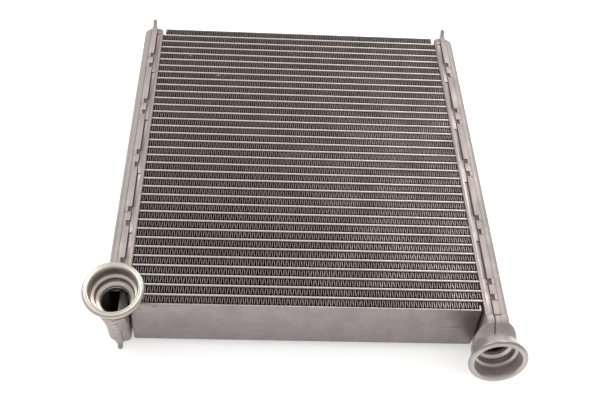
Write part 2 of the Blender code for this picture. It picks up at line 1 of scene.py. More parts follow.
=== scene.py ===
"""Looks of the heater core: fine fins, turned ports, worn aluminium, studio light."""
import json
import math
import random

import bmesh
import bpy
from mathutils import Matrix, Vector


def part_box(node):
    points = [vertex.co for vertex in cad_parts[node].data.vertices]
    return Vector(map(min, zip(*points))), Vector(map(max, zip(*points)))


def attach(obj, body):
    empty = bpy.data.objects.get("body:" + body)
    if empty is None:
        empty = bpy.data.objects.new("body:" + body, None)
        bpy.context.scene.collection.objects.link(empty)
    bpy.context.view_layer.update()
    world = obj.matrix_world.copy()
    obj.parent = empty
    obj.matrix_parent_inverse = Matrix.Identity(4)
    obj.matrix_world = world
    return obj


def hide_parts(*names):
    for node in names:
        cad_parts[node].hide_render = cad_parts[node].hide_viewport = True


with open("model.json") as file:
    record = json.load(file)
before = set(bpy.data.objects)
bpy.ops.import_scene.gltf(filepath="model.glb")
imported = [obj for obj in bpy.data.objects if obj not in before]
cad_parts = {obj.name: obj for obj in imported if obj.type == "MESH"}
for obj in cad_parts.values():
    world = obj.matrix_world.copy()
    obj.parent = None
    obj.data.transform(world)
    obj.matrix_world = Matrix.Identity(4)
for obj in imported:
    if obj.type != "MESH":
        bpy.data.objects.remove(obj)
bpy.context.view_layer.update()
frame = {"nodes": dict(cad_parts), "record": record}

MM = 0.001
scene = bpy.context.scene
random.seed(7)


near_lo, near_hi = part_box("side_plate_near")
far_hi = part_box("side_plate_far")[1]
CORE_Y = (near_lo.y + far_hi.y) / 2
CORE_HALF = (far_hi.y - near_lo.y) / 2
Z_MIDDLE = (near_lo.z + near_hi.z) / 2

# Distances from the middle of the core, along X and then along Z
HEADER_FACE = 76.5 * MM
HEADER_BACK = 76.9 * MM
BAND_INNER = 80.1 * MM
TANK_MIDDLE = 81.6 * MM
BAND_OUTER = 82.9 * MM
FACE_START = 13.0 * MM
FACE_END = 13.25 * MM
INSIDE_LEVEL = 13.3 * MM
BAND_HALF_DEPTH = 14.5 * MM

# Camera: its place from the middle of the core, its directions and its lens
PICTURE_WIDTH = 600.0
PICTURE_HEIGHT = 400.0
SENSOR_WIDTH = 36.0
LENS = 55.208
CAMERA_PLACE = Vector((-26.219, -328.556, 331.80)) * MM
CAMERA_RIGHT = Vector((0.99812274, -0.01806509, 0.0585205))
CAMERA_UP = Vector((-0.026465, 0.73447774, 0.67811655))
CAMERA_FORWARD = Vector((0.05523224, 0.6783923, -0.73262084))


def add_camera():
    data = bpy.data.cameras.new("camera")
    data.sensor_width = SENSOR_WIDTH
    data.lens = LENS
    data.clip_start = 0.01
    data.clip_end = 20.0
    camera = bpy.data.objects.new("camera", data)
    scene.collection.objects.link(camera)
    place = CAMERA_PLACE + Vector((0.0, CORE_Y, Z_MIDDLE))
    columns = (CAMERA_RIGHT, CAMERA_UP, -CAMERA_FORWARD)
    turn = Matrix([[c[i] for c in columns] for i in range(3)]).to_4x4()
    camera.matrix_world = Matrix.Translation(place) @ turn
    scene.camera = camera


add_camera()


# Materials
class Nodes:
    """A short way to build a material's nodes, with the place on the part in X, Y and Z."""

    def __init__(self, name):
        self.material = bpy.data.materials.new(name)
        self.material.use_nodes = True
        self.tree = self.material.node_tree
        self.tree.nodes.clear()
        self.out = self.add("ShaderNodeOutputMaterial")
        self.shader = self.add("ShaderNodeBsdfPrincipled")
        self.link(self.shader.outputs["BSDF"], self.out.inputs["Surface"])
        geometry = self.add("ShaderNodeNewGeometry")
        self.place = geometry.outputs["Position"]
        self.facing = geometry.outputs["True Normal"]
        split = self.add("ShaderNodeSeparateXYZ")
        self.link(self.place, split.inputs[0])
        self.x = split.outputs["X"]
        self.y = split.outputs["Y"]
        self.z = split.outputs["Z"]

    def add(self, kind, **values):
        node = self.tree.nodes.new(kind)
        for key, value in values.items():
            setattr(node, key, value)
        return node

    def link(self, start, end):
        self.tree.links.new(start, end)

    def feed(self, socket, value):
        if isinstance(value, bpy.types.NodeSocket):
            self.link(value, socket)
        else:
            socket.default_value = value

    def vector(self, operation, *inputs, out="Vector"):
        node = self.add("ShaderNodeVectorMath", operation=operation)
        for i, value in enumerate(inputs):
            self.feed(node.inputs[i], value)
        return node.outputs[out]

    def math(self, operation, *inputs):
        node = self.add("ShaderNodeMath", operation=operation)
        for i, value in enumerate(inputs):
            self.feed(node.inputs[i], value)
        return node.outputs[0]

    def noise(self, vector, scale, detail=4.0, rough=0.55):
        node = self.add("ShaderNodeTexNoise")
        self.feed(node.inputs["Vector"], vector)
        self.feed(node.inputs["Scale"], scale)
        self.feed(node.inputs["Detail"], detail)
        self.feed(node.inputs["Roughness"], rough)
        return node.outputs[0]

    def ramp(self, value, low, high, to_low, to_high):
        node = self.add("ShaderNodeMapRange")
        for key, number in (("From Min", low), ("From Max", high),
                            ("To Min", to_low), ("To Max", to_high)):
            self.feed(node.inputs[key], number)
        self.feed(node.inputs["Value"], value)
        return node.outputs[0]

    def mix(self, factor, first, second):
        node = self.add("ShaderNodeMix", data_type="RGBA")
        self.feed(node.inputs[0], factor)
        self.feed(node.inputs[6], first)
        self.feed(node.inputs[7], second)
        return node.outputs[2]

    def bump(self, height, strength, distance, normal=None):
        node = self.add("ShaderNodeBump")
        self.feed(node.inputs["Height"], height)
        self.feed(node.inputs["Strength"], strength)
        self.feed(node.inputs["Distance"], distance)
        if normal is not None:
            self.link(normal, node.inputs["Normal"])
        return node.outputs["Normal"]

    def rise(self):
        """Distance above or below the middle of the core."""
        return self.math("ABSOLUTE", self.math("SUBTRACT", self.z, Z_MIDDLE))

    def round_axis(self, centre, axis):
        """Distance along an axis from its centre, and distance away from it."""
        offset = self.vector("SUBTRACT", self.place, tuple(centre))
        along = self.vector("DOT_PRODUCT", offset, tuple(axis), out="Value")
        across = self.vector("CROSS_PRODUCT", offset, tuple(axis))
        return along, self.vector("LENGTH", across, out="Value")

    def finish(self, colour, metallic, rough, normal=None):
        self.feed(self.shader.inputs["Base Color"], colour)
        self.feed(self.shader.inputs["Metallic"], metallic)
        self.feed(self.shader.inputs["Roughness"], rough)
        if normal is not None:
            self.link(normal, self.shader.inputs["Normal"])
        return self.material


def grey(r, g=None, b=None):
    return (r, r if g is None else g, r if b is None else b, 1.0)


def darkened(colour, share):
    return tuple(c * share for c in colour[:3]) + (1.0,)


def between(n, value, low, high, soft):
    """1 between two limits and 0 outside them, with soft ends."""
    rise = n.ramp(value, low - soft / 2, low + soft / 2, 0.0, 1.0)
    fall = n.ramp(value, high - soft / 2, high + soft / 2, 1.0, 0.0)
    return n.math("MULTIPLY", rise, fall)


def groove_shade_mask(n, low, high, soft):
    """Painted shade in the grooves along the faces of both tanks, between two distances from the
    middle.
    """
    wander = n.math("MULTIPLY", n.math("SUBTRACT", n.noise(n.place, 260.0, 3.0), 0.5), soft)
    out = n.math("ADD", n.math("ABSOLUTE", n.x), wander)
    face = n.ramp(n.rise(), FACE_START, FACE_END, 0.0, 1.0)
    return n.math("MULTIPLY", between(n, out, low, high, soft), face)


# The shadow inside the tanks, and round the hole under the left port
TANK_LENGTH_SHARE = 0.05
UNDER_PORT_RADIUS = 7.9 * MM
UNDER_PORT_DEPTH = 8.8 * MM


def tank_inside(n):
    """1 on the walls that face into the tanks."""
    out = n.math("ABSOLUTE", n.x)
    side = n.math("SIGN", n.x)
    along = n.math("SUBTRACT", n.y, CORE_Y)
    join = n.add("ShaderNodeCombineXYZ")
    n.link(n.math("MULTIPLY", n.math("SUBTRACT", out, TANK_MIDDLE), side), join.inputs[0])
    n.link(n.math("MULTIPLY", along, TANK_LENGTH_SHARE), join.inputs[1])
    n.link(n.math("SUBTRACT", n.z, Z_MIDDLE), join.inputs[2])
    facing = n.vector("DOT_PRODUCT", n.facing, join.outputs[0], out="Value")
    inward = n.math("LESS_THAN", facing, 0.0)
    beyond = n.math("GREATER_THAN", out, HEADER_BACK)
    end = n.math("LESS_THAN", n.y, CORE_Y - CORE_HALF)
    level = n.math("LESS_THAN", n.rise(), INSIDE_LEVEL)
    walls = n.math("MULTIPLY", n.math("MULTIPLY", inward, n.math("MAXIMUM", beyond, end)), level)
    centre, axis = port_frame("left")
    height, away = n.round_axis(centre, axis)
    under = n.math("MULTIPLY", n.math("LESS_THAN", away, UNDER_PORT_RADIUS),
                   n.math("LESS_THAN", height, -UNDER_PORT_DEPTH))
    above = n.math("GREATER_THAN", n.z, Z_MIDDLE + INSIDE_LEVEL)
    return n.math("MAXIMUM", walls, n.math("MULTIPLY", under, above))


# Sheets: where painted shade darkens the tubes' sides, and the colours of painted shade on the
# tubes' sides, in the grooves and inside the tanks
TUBE_SIDE_START = 12.45 * MM
TUBE_SIDE_END = 12.85 * MM
TUBE_SIDE_SHADE = grey(0.10, 0.09, 0.085)
GROOVE_SHADE_COLOUR = grey(0.07, 0.06, 0.055)
TANK_SHADOW = grey(0.05, 0.045, 0.04)
SHEET_BUMP = 0.12 * MM


def sheet_metal(name, light, dark, rough, metallic=0.85, grain=0.25, stains=0.5,
                groove_shades=(), header=None):
    """Rolled or pressed sheet: cloudy furnace stains, fine grain and small pits.

    Groove shades are rows of near and far limit, softness and strength of painted shade in
    the grooves beside the seam band; given any, the walls inside the tanks get painted shadow
    too. Header is where the tubes end and the header plates start, with the plates' light
    and dark colour; below the tubes' rounded tops their sides get painted shade.
    """
    n = Nodes(name)
    clouds = n.noise(n.place, 90.0, 5.0, 0.6)
    fine = n.noise(n.place, 1400.0, 3.0, 0.6)
    specks = n.noise(n.place, 420.0, 6.0, 0.7)
    patches = n.noise(n.place, 330.0, 4.0, 0.6)
    mottled = n.math("ADD", n.math("MULTIPLY", clouds, 0.5), n.math("MULTIPLY", patches, 0.5))
    stain = n.math("MULTIPLY", n.ramp(mottled, 0.38, 0.62, 0.0, 1.0), stains)
    speck = n.math("MULTIPLY", n.ramp(specks, 0.58, 0.70, 0.0, 1.0), 0.35)
    colour = n.mix(speck, n.mix(stain, light, dark), darkened(dark, 0.6))
    if header is not None:
        start, header_light, header_dark = header
        out = n.math("ABSOLUTE", n.x)
        beyond = n.ramp(out, start, start + 0.2 * MM, 0.0, 1.0)
        colour = n.mix(beyond, colour, n.mix(stain, header_light, header_dark))
        # Painted shade on the tubes' sides below their rounded tops, where the fins shade them
        side = n.ramp(n.rise(), TUBE_SIDE_START, TUBE_SIDE_END, 0.75, 0.0)
        below = n.math("MULTIPLY", side, n.math("SUBTRACT", 1.0, beyond))
        colour = n.mix(below, colour, TUBE_SIDE_SHADE)
    # Painted shade in the grooves beside the seam band
    for low, high, soft, depth in groove_shades:
        colour = n.mix(n.math("MULTIPLY", groove_shade_mask(n, low, high, soft), depth), colour, GROOVE_SHADE_COLOUR)
    if groove_shades:
        # Painted shadow on the walls inside the tanks
        shade = n.math("MULTIPLY", tank_inside(n), 0.8 if header else 0.45)
        colour = n.mix(shade, colour, TANK_SHADOW)
    roughness = n.ramp(clouds, 0.3, 0.7, rough - 0.06, rough + 0.10)
    height = n.math("ADD", n.math("MULTIPLY", fine, 0.4), specks)
    return n.finish(colour, metallic, roughness, n.bump(height, grain, SHEET_BUMP))


# Fin strip: its colours, and where it falls into shade
FIN_LIGHT = grey(0.29, 0.247, 0.224)
FIN_DARK = grey(0.20, 0.168, 0.15)
FIN_INSIDE = grey(0.055, 0.042, 0.037)
FIN_SHADE_START = 11.6 * MM
FIN_SHADE_END = 12.5 * MM
FIN_BUMP = 0.1 * MM


def fin_metal():
    """Thin fin strip, dulled and slightly uneven."""
    n = Nodes("fin_strip")
    clouds = n.noise(n.place, 60.0, 4.0, 0.6)
    colour = n.mix(n.ramp(clouds, 0.35, 0.65, 0.0, 1.0), FIN_LIGHT, FIN_DARK)
    inside = n.ramp(n.rise(), FIN_SHADE_START, FIN_SHADE_END, 0.88, 0.0)
    colour = n.mix(inside, colour, FIN_INSIDE)
    normal = n.bump(n.noise(n.place, 1500.0, 2.0, 0.5), 0.3, FIN_BUMP)
    return n.finish(colour, 0.7, n.ramp(clouds, 0.3, 0.7, 0.38, 0.52), normal)


# Turned metal: depths behind the flange's face, and distances from the port's axis, for painted
# shade on the flange's rounded outer rim and deep in the bore
FLANGE_BACK = 1.6 * MM
FLANGE_EDGE = 1.0 * MM
RIM_SHADE_START = 12.15 * MM
RIM_SHADE_END = 12.6 * MM
BORE_DEEP = 12.5 * MM
BORE_START = 10.4 * MM
BORE_SHADE = grey(0.10, 0.085, 0.08)
TURNED_BUMP = 0.08 * MM


def turned_metal(name, centre, axis, colour_light, colour_dark, face, rough):
    """Bright turned metal: fine rings round the port's own axis, with painted shade on the
    flange's outer rim and deep in the bore, and a face colour that paints in how light falls on
    that port's flange.
    """
    n = Nodes(name)
    along, away = n.round_axis(centre, axis)
    join = n.add("ShaderNodeCombineXYZ")
    n.link(away, join.inputs[0])
    n.link(along, join.inputs[1])
    turning = join.outputs[0]
    rings = n.noise(turning, 2600.0, 4.0, 0.7)
    broad = n.noise(turning, 500.0, 2.0, 0.5)
    clouds = n.noise(n.place, 160.0, 5.0, 0.6)
    colour = n.mix(n.ramp(broad, 0.35, 0.65, 0.0, 1.0), colour_light, colour_dark)
    colour = n.mix(n.ramp(rings, 0.45, 0.7, 0.0, 0.45), colour, colour_dark)
    colour = n.mix(n.ramp(clouds, 0.45, 0.75, 0.0, 0.35), colour, colour_dark)
    front = n.ramp(along, -FLANGE_BACK, -FLANGE_EDGE, 0.0, 1.0)
    streaks = n.ramp(n.noise(turning, 1700.0, 3.0, 0.6), 0.40, 0.62, 0.0, 0.55)
    darker = darkened(face, 0.55)
    face = n.mix(streaks, face, darker)
    # Painted shade on the flange's rounded outer rim
    face = n.mix(n.ramp(away, RIM_SHADE_START, RIM_SHADE_END, 0.0, 0.6), face, darker)
    # The flange's face in its port's face colour, which carries painted light and shade
    colour = n.mix(front, colour, face)
    # Painted shade deep in the bore
    deep = n.ramp(along, -BORE_DEEP, -BORE_START, 0.6, 0.0)
    colour = n.mix(deep, colour, BORE_SHADE)
    normal = n.bump(rings, 0.35, TURNED_BUMP)
    normal = n.bump(n.noise(n.place, 700.0, 3.0, 0.6), 0.10, TURNED_BUMP, normal)
    roughness = n.ramp(clouds, 0.3, 0.7, rough - 0.05, rough + 0.12)
    return n.finish(colour, 0.8, roughness, normal)


def mount(name):
    """Place and direction of one mount of the record."""
    for row in frame["record"]["mounts"]:
        if row["name"] == name:
            return Vector(row["pos_m"]), Vector(row["axis"])
    raise KeyError(name)


def port_frame(name):
    """The middle of a port's flange and the direction that it faces."""
    place, axis = mount(name + "_port_flange")
    lo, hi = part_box("port_" + name)
    return Vector(((lo.x + hi.x) / 2, place.y, place.z)), axis.normalized()


# Light and dark colour of each kind of sheet
TUBE_LIGHT = grey(0.48, 0.44, 0.42)
TUBE_DARK = grey(0.38, 0.345, 0.33)
HEADER_LIGHT = grey(0.29, 0.252, 0.24)
HEADER_DARK = grey(0.215, 0.185, 0.177)
PLATE_LIGHT = grey(0.27, 0.235, 0.23)
PLATE_DARK = grey(0.22, 0.185, 0.185)
TANK_LIGHT = grey(0.33, 0.29, 0.278)
TANK_DARK = grey(0.25, 0.215, 0.206)
# Collar colours: the tank's sheet painted lighter, as painted light on the right tank's shoulder
LIT_COLLAR_LIGHT = grey(0.36, 0.315, 0.302)
LIT_COLLAR_DARK = grey(0.275, 0.237, 0.227)
LIP_LIGHT = grey(0.34, 0.295, 0.285)
LIP_DARK = grey(0.25, 0.215, 0.205)
# Near-black sheet: painted shade in the notches and the seam's groove, and dark dirt and marks
SHADE_AND_DIRT_LIGHT = grey(0.10, 0.09, 0.085)
SHADE_AND_DIRT_DARK = grey(0.06, 0.055, 0.05)
BRAZE_LIGHT = grey(0.44, 0.40, 0.385)
BRAZE_DARK = grey(0.34, 0.30, 0.29)
# Near and far limit, softness and strength of the painted shade in the grooves beside the seam
# band
HEADER_GROOVE_SHADE = (78.4 * MM, 79.9 * MM, 0.5 * MM, 0.15)
COVER_GROOVE_SHADE = (82.95 * MM, 83.5 * MM, 0.35 * MM, 0.4)

tube_metal = sheet_metal("tube_sheet", TUBE_LIGHT, TUBE_DARK, 0.42, groove_shades=(HEADER_GROOVE_SHADE,),
                         header=(HEADER_FACE - 0.1 * MM, HEADER_LIGHT, HEADER_DARK))
plate_metal = sheet_metal("plate_sheet", PLATE_LIGHT, PLATE_DARK, 0.46, grain=0.12, stains=0.6)
tank_metal = sheet_metal("tank_sheet", TANK_LIGHT, TANK_DARK, 0.56, metallic=0.6, grain=0.3,
                         groove_shades=(COVER_GROOVE_SHADE,))
lit_collar_metal = sheet_metal("lit_collar_sheet", LIT_COLLAR_LIGHT, LIT_COLLAR_DARK, 0.54, metallic=0.65,
                           grain=0.3)
lip_metal = sheet_metal("lip_sheet", LIP_LIGHT, LIP_DARK, 0.56, metallic=0.6)
shade_and_dirt_metal = sheet_metal("shade_and_dirt_sheet", SHADE_AND_DIRT_LIGHT, SHADE_AND_DIRT_DARK, 0.7, metallic=0.3)
braze_metal = sheet_metal("braze", BRAZE_LIGHT, BRAZE_DARK, 0.42, grain=0.3)
fin_strip_metal = fin_metal()


# Pieces: steps across a rounded strip, and the angles in degrees that stay sharp
STRIP_STEPS = 8
EDGE_ANGLE = 60.0
BLOCK_ANGLE = 40.0
COLLAR_ANGLE = 75.0


def mesh_object(name, bm, material, smooth_angle=None):
    """Turns a mesh into a piece of the part, smooth up to the given angle."""
    mesh = bpy.data.meshes.new(name)
    bm.to_mesh(mesh)
    bm.free()
    mesh.materials.append(material)
    if smooth_angle is not None:
        mesh.shade_smooth()
        mesh.set_sharp_from_angle(angle=math.radians(smooth_angle))
    obj = bpy.data.objects.new(name, mesh)
    scene.collection.objects.link(obj)
    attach(obj, "root")
    return obj


def loft(bm, loops, cap_start=True, cap_end=True, ring=False):
    """Joins closed loops of points, each with the same number of points."""
    rows = [[bm.verts.new(p) for p in loop] for loop in loops]
    pairs = list(zip(rows, rows[1:]))
    if ring:
        pairs.append((rows[-1], rows[0]))
    count = len(rows[0])
    for first, second in pairs:
        for i in range(count):
            j = (i + 1) % count
            bm.faces.new((first[i], first[j], second[j], second[i]))
    if not ring:
        if cap_start:
            bm.faces.new(rows[0][::-1])
        if cap_end:
            bm.faces.new(rows[-1])


def skin(bm, rings):
    """Faces between open rows of points, each with the same number of points."""
    for a, b in zip(rings, rings[1:]):
        for k in range(len(a) - 1):
            bm.faces.new((a[k], a[k + 1], b[k + 1], b[k]))


def add_to(bm, part):
    """Adds one small mesh to another and frees it."""
    spare = bpy.data.meshes.new("spare")
    part.to_mesh(spare)
    part.free()
    bm.from_mesh(spare)
    bpy.data.meshes.remove(spare)


# Fine fins: counts and sheet sizes, then shares of one leg's pitch, then the slats
FIN_ROWS = 36
FIN_LEGS = 151
FIN_SHEET = 0.09 * MM
FIN_RIM = 0.24 * MM
FIN_RIM_DEPTH = 0.7 * MM
FIN_RIM_RISE = 0.02 * MM
FIN_UNEVEN = 0.15 * MM
CREST = 0.85
CREST_END = 0.08
CREST_RISE = 0.12
LEG_WANDER = 0.05
SLAT_COUNT = 16
SLAT_START = 0.8
SLAT_REACH = 0.46
SLAT_TILT = math.radians(26.0)


def fin_line(low_x, high_x, low, high):
    """Middle line of one strip in X and Y: steep legs joined by rounded crests."""
    pitch = (high_x - low_x) / FIN_LEGS
    line = []
    legs = []
    for i in range(FIN_LEGS):
        start = low_x + pitch * i
        y0, y1 = (low, high) if i % 2 == 0 else (high, low)
        shift = random.uniform(-LEG_WANDER, LEG_WANDER) * pitch
        foot = (start + pitch * CREST / 2 + shift, y0 + (y1 - y0) * CREST_RISE)
        head = (start + pitch * (1 - CREST / 2) + shift, y1 + (y0 - y1) * CREST_RISE)
        line += [(start + pitch * CREST_END, y0), foot, head,
                 (start + pitch * (1 - CREST_END), y1)]
        legs.append((foot, head))
    return line, legs


def fin_sheet(bm, line, bottom, top):
    """The folded sheet itself, as one closed strip."""
    half = FIN_SHEET / 2
    rows = []
    for x, y in line:
        rows.append([bm.verts.new((x - half, y, bottom)), bm.verts.new((x + half, y, bottom)),
                     bm.verts.new((x + half, y, top)), bm.verts.new((x - half, y, top))])
    for first, second in zip(rows, rows[1:]):
        for a in range(4):
            b = (a + 1) % 4
            bm.faces.new((first[a], first[b], second[b], second[a]))
    bm.faces.new(rows[0][::-1])
    bm.faces.new(rows[-1])
    bmesh.ops.recalc_face_normals(bm, faces=bm.faces)


def fin_rims(bm, legs, bottom, top):
    """A thicker rim on the upper and the lower edge of each leg."""
    for foot, head in legs:
        for level, way in ((top, 1), (bottom, -1)):
            low_z, high_z = sorted((level - way * FIN_RIM_DEPTH, level + way * FIN_RIM_RISE))
            corners = []
            for z, wide in ((low_z, FIN_RIM if way < 0 else FIN_SHEET),
                            (high_z, FIN_RIM if way > 0 else FIN_SHEET)):
                corners.append([bm.verts.new((p[0] + dx * wide / 2, p[1], z))
                                for p, dx in ((foot, -1), (foot, 1), (head, 1), (head, -1))])
            for a in range(4):
                b = (a + 1) % 4
                bm.faces.new((corners[0][a], corners[0][b], corners[1][b], corners[1][a]))
            bm.faces.new(corners[1] if way > 0 else corners[0][::-1])


def fin_slats(bm, legs, bottom, top):
    """The tilted slats of each leg, which lean the other way in its lower half."""
    step = (top - bottom) / (SLAT_COUNT + 1)
    reach = step * SLAT_REACH
    for foot, head in legs:
        for i in range(SLAT_COUNT):
            middle = top - step * (i + SLAT_START)
            way = 1 if i < SLAT_COUNT / 2 else -1
            dx = way * math.sin(SLAT_TILT) * reach
            dz = math.cos(SLAT_TILT) * reach
            a = bm.verts.new((foot[0] - dx, foot[1], middle - dz))
            b = bm.verts.new((head[0] - dx, head[1], middle - dz))
            c = bm.verts.new((head[0] + dx, head[1], middle + dz))
            d = bm.verts.new((foot[0] + dx, foot[1], middle + dz))
            bm.faces.new((a, b, c, d))


def fine_fin(name, flip):
    """One corrugated, louvred strip with close legs, in place of a coarse row."""
    lo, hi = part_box(name)
    low, high = (hi.y, lo.y) if flip else (lo.y, hi.y)
    line, legs = fin_line(lo.x, hi.x, low, high)
    bottom = lo.z
    top = hi.z - random.uniform(0.0, FIN_UNEVEN)
    bm = bmesh.new()
    fin_sheet(bm, line, bottom, top)
    fin_rims(bm, legs, bottom, top)
    fin_slats(bm, legs, bottom, top)
    piece = mesh_object(name.replace("row", "strip"), bm, fin_strip_metal)
    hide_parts(name)


for number in range(1, FIN_ROWS + 1):
    fine_fin("fin_row_%02d" % number, number % 2 == 0)


# Rounded tube edges
TUBE_COUNT = FIN_ROWS - 1
TUBE_PITCH = 5.3 * MM
NOSE_END_GAP = 0.02 * MM
NOSE_CENTRE = 12.35 * MM
NOSE_RADIUS = 0.67 * MM
NOSE_STEPS = 8


def tube_noses(name, way):
    """The rounded edges of the flat tubes, on the upper or the lower face."""
    bm = bmesh.new()
    for i in range(TUBE_COUNT):
        y = CORE_Y + (i - (TUBE_COUNT - 1) / 2) * TUBE_PITCH
        loops = []
        for x in (-HEADER_FACE + NOSE_END_GAP, HEADER_FACE - NOSE_END_GAP):
            loop = []
            for k in range(NOSE_STEPS + 1):
                angle = math.pi * k / NOSE_STEPS
                loop.append((x, y + NOSE_RADIUS * math.cos(angle),
                             Z_MIDDLE + way * (NOSE_CENTRE + NOSE_RADIUS * math.sin(angle))))
            loops.append(loop)
        loft(bm, loops)
    bmesh.ops.recalc_face_normals(bm, faces=bm.faces)
    mesh_object(name, bm, tube_metal, EDGE_ANGLE)


tube_noses("tube_noses_upper", 1)
tube_noses("tube_noses_lower", -1)


# Right collar: where it takes over, and its rows of depth behind the flange, half width,
# half depth, squareness and sideways shift, in millimetres but for the squareness
COLLAR_POINTS = 128
COLLAR_STEPS = 5
COLLAR_CUT = 16.3 * MM
COLLAR_SHIFT = 0.05
COLLAR_TURN_START = 14.2
COLLAR_TURN_LENGTH = 2.0
COLLAR = [(17.4, 4.9, 13.4, 12.0, 0.0),
          (16.8, 5.24, 13.7, 12.0, 0.0),
          (14.2, 5.26, 13.7, 9.0, 0.0),
          (13.3, 5.7, 13.6, 6.5, -0.1),
          (12.8, 7.1, 13.4, 4.8, -0.3),
          (12.3, 8.5, 12.9, 3.5, -0.35),
          (11.7, 9.2, 12.2, 2.9, -0.25),
          (11.1, 9.45, 11.5, 2.5, -0.1),
          (10.4, 9.5, 10.8, 2.2, 0.0),
          (9.6, 9.45, 10.1, 2.0, 0.05),
          (8.9, 9.45, 9.7, 2.0, 0.1),
          (8.2, 9.45, 9.5, 2.0, 0.1),
          (7.9, 9.0, 9.0, 2.0, 0.0)]


def collar_section(row):
    """The middle and the shape of one section of the right collar.

    The sections move from the tank's middle line over to the port's own axis.
    """
    centre, axis = port_frame("right")
    depth, wide, high, power, shift = row
    blend = min(1.0, max(0.0, (COLLAR_TURN_START - depth) / COLLAR_TURN_LENGTH))
    end = centre - axis * (depth * MM)
    x = TANK_MIDDLE + (COLLAR_SHIFT + shift) * MM + (end.x - TANK_MIDDLE) * blend
    z = Z_MIDDLE + (end.z - Z_MIDDLE) * blend
    return Vector((x, end.y, z)), wide * MM, high * MM, power


def collar_rows():
    """The collar's rows with smooth steps put in between them."""
    rows = []
    last = len(COLLAR) - 1
    for i in range(last):
        before, a = COLLAR[max(0, i - 1)], COLLAR[i]
        b, after = COLLAR[i + 1], COLLAR[min(last, i + 2)]
        for k in range(COLLAR_STEPS):
            t = k / COLLAR_STEPS
            row = []
            for p, q, r, u in zip(before, a, b, after):
                slope = (r - p) / 2
                other = (u - q) / 2
                row.append((2 * t ** 3 - 3 * t ** 2 + 1) * q + (t ** 3 - 2 * t ** 2 + t) * slope
                           + (3 * t ** 2 - 2 * t ** 3) * r + (t ** 3 - t ** 2) * other)
            rows.append(row)
    rows.append(list(COLLAR[last]))
    return rows


def collar_loop(row):
    """Points at even distances round one section."""
    middle, wide, high, power = collar_section(row)
    dense = []
    for k in range(COLLAR_POINTS * 8 + 1):
        angle = 2 * math.pi * k / (COLLAR_POINTS * 8)
        c, q = math.cos(angle), math.sin(angle)
        reach = (abs(c) ** power + abs(q) ** power) ** (-1 / power)
        dense.append(middle + Vector((c * reach * wide, 0.0, q * reach * high)))
    run = [0.0]
    for a, b in zip(dense, dense[1:]):
        run.append(run[-1] + (b - a).length)
    loop = []
    at = 0
    for k in range(COLLAR_POINTS):
        goal = run[-1] * k / COLLAR_POINTS
        while run[at + 1] < goal:
            at += 1
        part = (goal - run[at]) / (run[at + 1] - run[at])
        loop.append(dense[at].lerp(dense[at + 1], part))
    return loop


# Refined copies of the CAD pieces: what counts as one point, one face or one curve
MERGE_DISTANCE = 0.002 * MM
FLAT_ANGLE = math.radians(0.8)
CORNER_ANGLE = math.radians(38.0)
CURVE_ANGLE = 42.0
RIGHT_END_START = 60.0 * MM
ROOM_RADIUS = 9.5 * MM
ROOM_DEPTH = 10.5 * MM
FINE_EDGE = 0.12 * MM
COVER_EDGE = 0.25 * MM
SEAT_EDGE = 0.3 * MM


def cut_collar(bm):
    """Takes the plain collar off a CAD copy, where the rounder one takes over."""
    centre, axis = port_frame("right")
    faces = []
    for face in bm.faces:
        if min(vert.co.x for vert in face.verts) > RIGHT_END_START:
            faces.append(face)
    parts = set(faces)
    for face in faces:
        parts.update(face.verts)
        parts.update(face.edges)
    bmesh.ops.bisect_plane(bm, geom=list(parts), plane_co=centre - axis * COLLAR_CUT,
                           plane_no=(0.0, -1.0, 0.0), clear_outer=True)


def refined(node, material, edge, room=None):
    """A copy of a CAD node with rounded edges and smooth curves, in its place.

    Where room is given as a port's name, the copy is set back behind that socket.
    """
    source = frame["nodes"][node]
    bm = bmesh.new()
    bm.from_mesh(source.data)
    bm.transform(source.matrix_world)
    bmesh.ops.remove_doubles(bm, verts=bm.verts, dist=MERGE_DISTANCE)
    bmesh.ops.dissolve_limit(bm, angle_limit=FLAT_ANGLE, verts=bm.verts, edges=bm.edges)
    corners = []
    for item in bm.edges:
        if len(item.link_faces) == 2 and item.calc_face_angle(0.0) > CORNER_ANGLE:
            corners.append(item)
    bmesh.ops.bevel(bm, geom=corners, offset=edge, segments=2, affect='EDGES',
                    profile=0.5, clamp_overlap=True)
    if room == "right":
        cut_collar(bm)
    if room:
        centre, axis = port_frame(room)
        for vert in bm.verts:
            offset = vert.co - centre
            depth = -offset.dot(axis)
            away = (offset + axis * depth).length
            if away < ROOM_RADIUS and depth < ROOM_DEPTH:
                vert.co -= axis * (ROOM_DEPTH - depth)
    piece = mesh_object("fine_" + node, bm, material, CURVE_ANGLE)
    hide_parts(node)
    return piece


refined("tube_bank", tube_metal, FINE_EDGE, "right")
refined("side_plate_near", plate_metal, FINE_EDGE)
refined("side_plate_far", plate_metal, FINE_EDGE)
left_cover = refined("tank_cover_left", tank_metal, COVER_EDGE)
refined("tank_cover_right", tank_metal, COVER_EDGE, "right")


